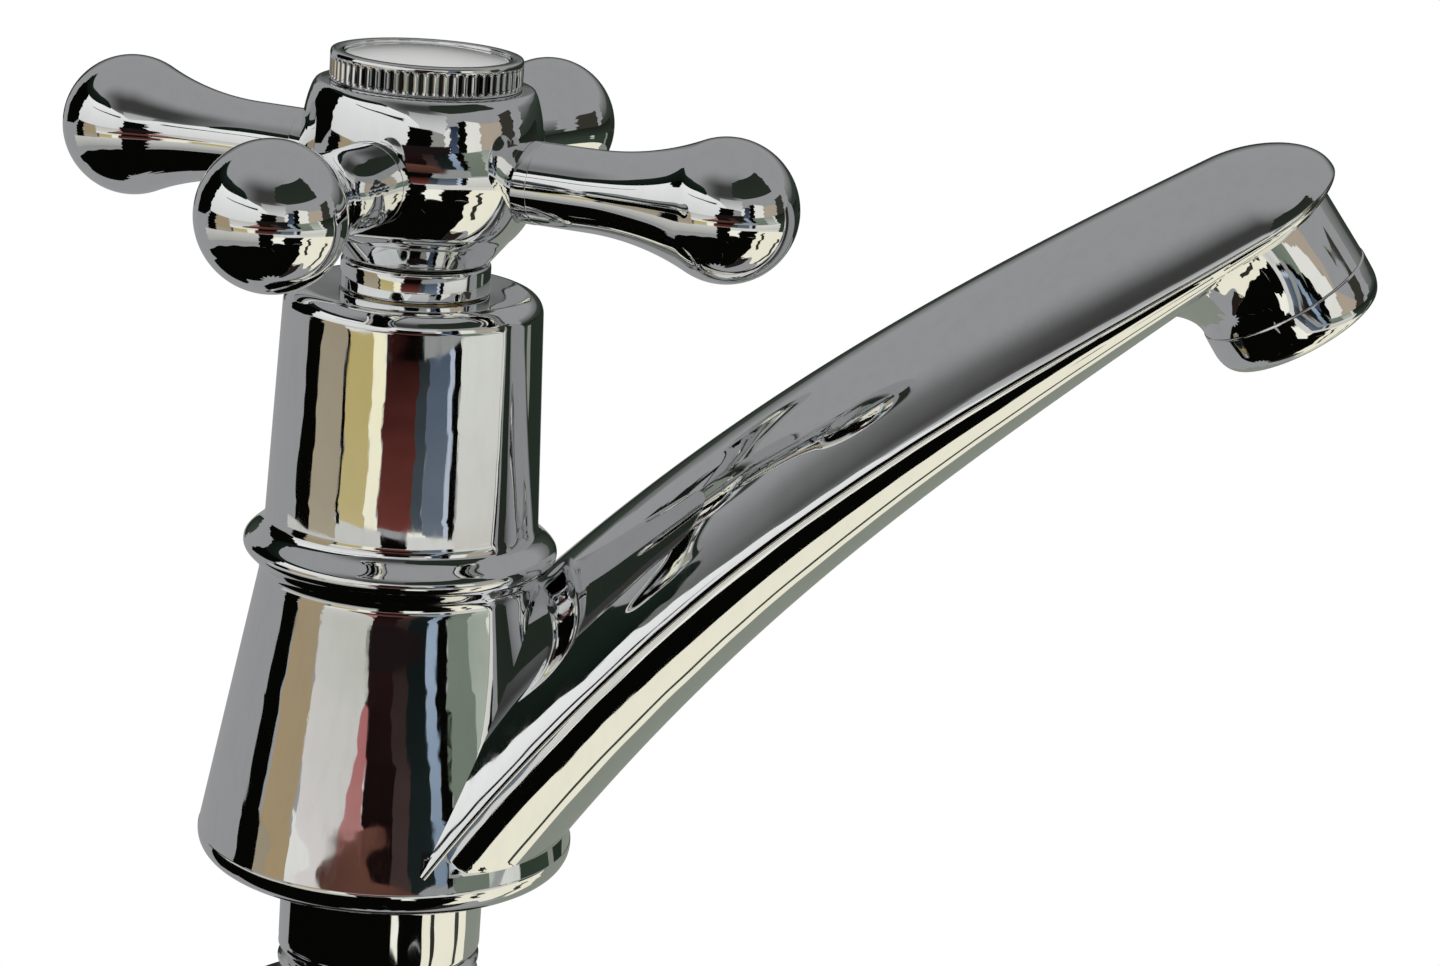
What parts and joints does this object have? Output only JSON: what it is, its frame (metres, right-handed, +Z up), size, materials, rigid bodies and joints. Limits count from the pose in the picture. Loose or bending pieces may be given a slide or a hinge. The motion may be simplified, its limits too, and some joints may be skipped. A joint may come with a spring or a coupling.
{
  "type": "pillar basin tap",
  "caption": "Chrome pillar basin tap: tapered body on a threaded shank, long curved spout with aerator, and a four-armed cross handle that turns a quarter turn.",
  "frame": {"origin": "centre of the base's underside, where the shank meets the deck", "axes": "+Z up along the body's axis, +X the way the spout reaches, +Y to the left of a user who faces the spout's tip"},
  "size_m": [0.1334, 0.0728, 0.1291],
  "materials": {
    "chrome_body": "polished chrome plate on brass",
    "chrome_handle": "polished chrome plate on zinc",
    "turned_brass": "turned, bare",
    "plated_steel": "zinc plated",
    "black_rubber": "moulded, matte",
    "red_fibre": "pressed fibre",
    "alumina": "lapped",
    "white_plastic": "moulded, matte",
    "index_white": "moulded, glossy"
  },
  "bodies": {
    "body": {"tap_body": "chrome_body", "shank": "chrome_body", "base_seal": "black_rubber", "soft_washer": "black_rubber", "metal_washer": "plated_steel", "backnut": "turned_brass", "headwork_seal": "red_fibre", "headwork_body": "turned_brass", "seat_seal": "black_rubber", "fixed_disc": "alumina", "thrust_washer": "white_plastic", "cover": "chrome_body", "collar_nut": "chrome_body", "aerator_housing": "chrome_body", "aerator_insert": "white_plastic", "aerator_screen": "plated_steel", "aerator_seal": "black_rubber"},
    "handle": {"spindle": "turned_brass", "spindle_o_rings": "black_rubber", "spindle_clip": "plated_steel", "moving_disc": "alumina", "handle_hub": "chrome_handle", "handle_arms": "chrome_handle", "handle_screw": "plated_steel", "index_cap": "chrome_handle", "index_disc": "index_white"}
  },
  "joints": [
    {"name": "handle_turn", "type": "hinge", "parent": "body", "child": "handle", "pos_m": [0, 0, 0.0724], "axis": [0, 0, 1], "range_deg": [0, 90]}
  ]
}
